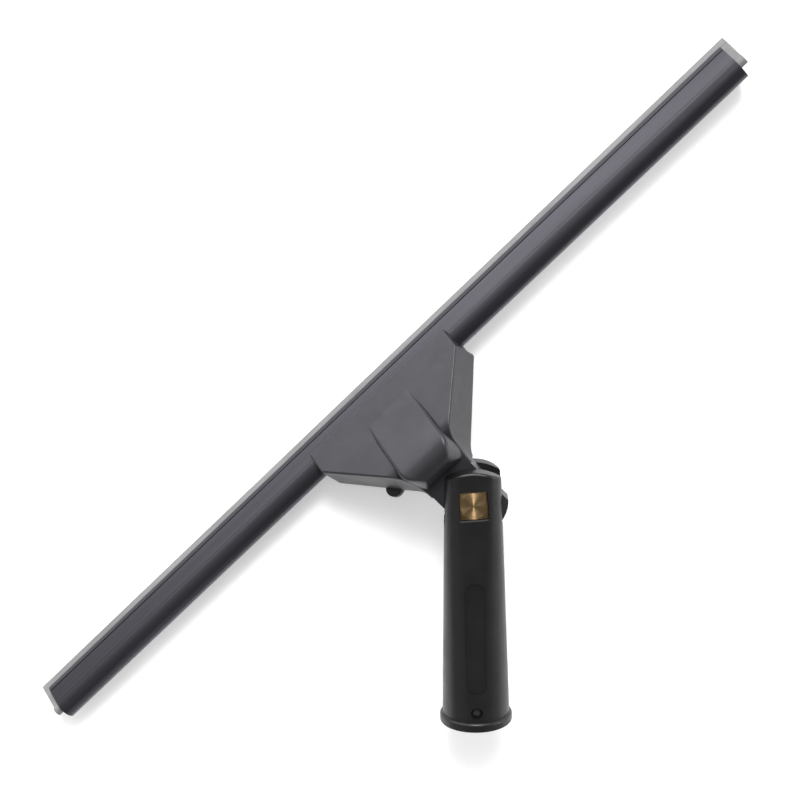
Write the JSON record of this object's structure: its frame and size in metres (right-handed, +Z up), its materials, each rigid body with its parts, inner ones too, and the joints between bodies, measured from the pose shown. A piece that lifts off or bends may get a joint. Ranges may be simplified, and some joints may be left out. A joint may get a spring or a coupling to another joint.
{
  "type": "window squeegee",
  "caption": "Swivel window squeegee: a rubber blade in a metal channel, an angled clamp head with a release lever, and a swivelling handle with a pole socket.",
  "frame": {"origin": "centre of the bounding box's base, where the squeegee lies on its back", "axes": "+X along the channel, +Y the way the blade points, +Z up along the pivot bolt"},
  "size_m": [0.458, 0.1661, 0.0478],
  "materials": {
    "black_anodised": "satin black anodised",
    "blade_rubber": "matt",
    "head_polymer": "fine grain, satin",
    "handle_polymer": "satin black",
    "lever_polymer": "satin black",
    "sleeve_polymer": "matt dark grey",
    "nylon": "natural, matt",
    "brass": "turned face",
    "zinc_steel": "bright zinc",
    "spring_steel": "oiled"
  },
  "bodies": {
    "handle": {"handle_body": "handle_polymer", "pole_sleeve": "sleeve_polymer", "butt_ring": "handle_polymer", "pivot_bolt": "brass", "pivot_washer": "zinc_steel", "spring_washer": "spring_steel", "pivot_nut": "zinc_steel", "friction_washer_front": "nylon", "friction_washer_rear": "nylon"},
    "head": {"head_housing": "head_polymer", "head_back_cover": "head_polymer", "cover_screws": "zinc_steel", "tongue_bush": "nylon", "lever_rivet": "zinc_steel", "clamp_spring": "spring_steel", "glide_pad_front": "nylon", "glide_pad_rear": "nylon"},
    "blade_channel": {"channel": "black_anodised", "rubber_blade": "blade_rubber", "blade_wedge_left": "nylon", "blade_wedge_right": "nylon"},
    "lever": {"release_lever": "lever_polymer"},
    "shoe": {"clamp_shoe": "nylon", "clamp_stem": "zinc_steel", "stem_collar": "zinc_steel"}
  },
  "joints": [
    {"name": "head_swivel", "type": "hinge", "parent": "handle", "child": "head", "pos_m": [0, 0.01055, 0.02983], "axis": [0, 0, 1], "range_deg": [-133, 47]},
    {"name": "channel_slide", "type": "slide", "parent": "head", "child": "blade_channel", "axis": [1, 0, 0], "range_m": [-0.17, 0.17]},
    {"name": "release_lever", "type": "hinge", "parent": "head", "child": "lever", "pos_m": [-0.012, 0.04196, 0.01654], "axis": [0, 0.5388, 0.8425], "range_deg": [-7.2, 0]},
    {"name": "shoe_slide", "type": "slide", "parent": "head", "child": "shoe", "axis": [0, 0.766, -0.6428], "range_m": [-0.00149, 0], "stiffness_N_per_m": 400, "springref_m": 0.012, "deforming": ["clamp_spring"]}
  ],
  "couplings": [
    {"joint": "release_lever", "follows": "shoe_slide", "rad_per_m": 84}
  ]
}
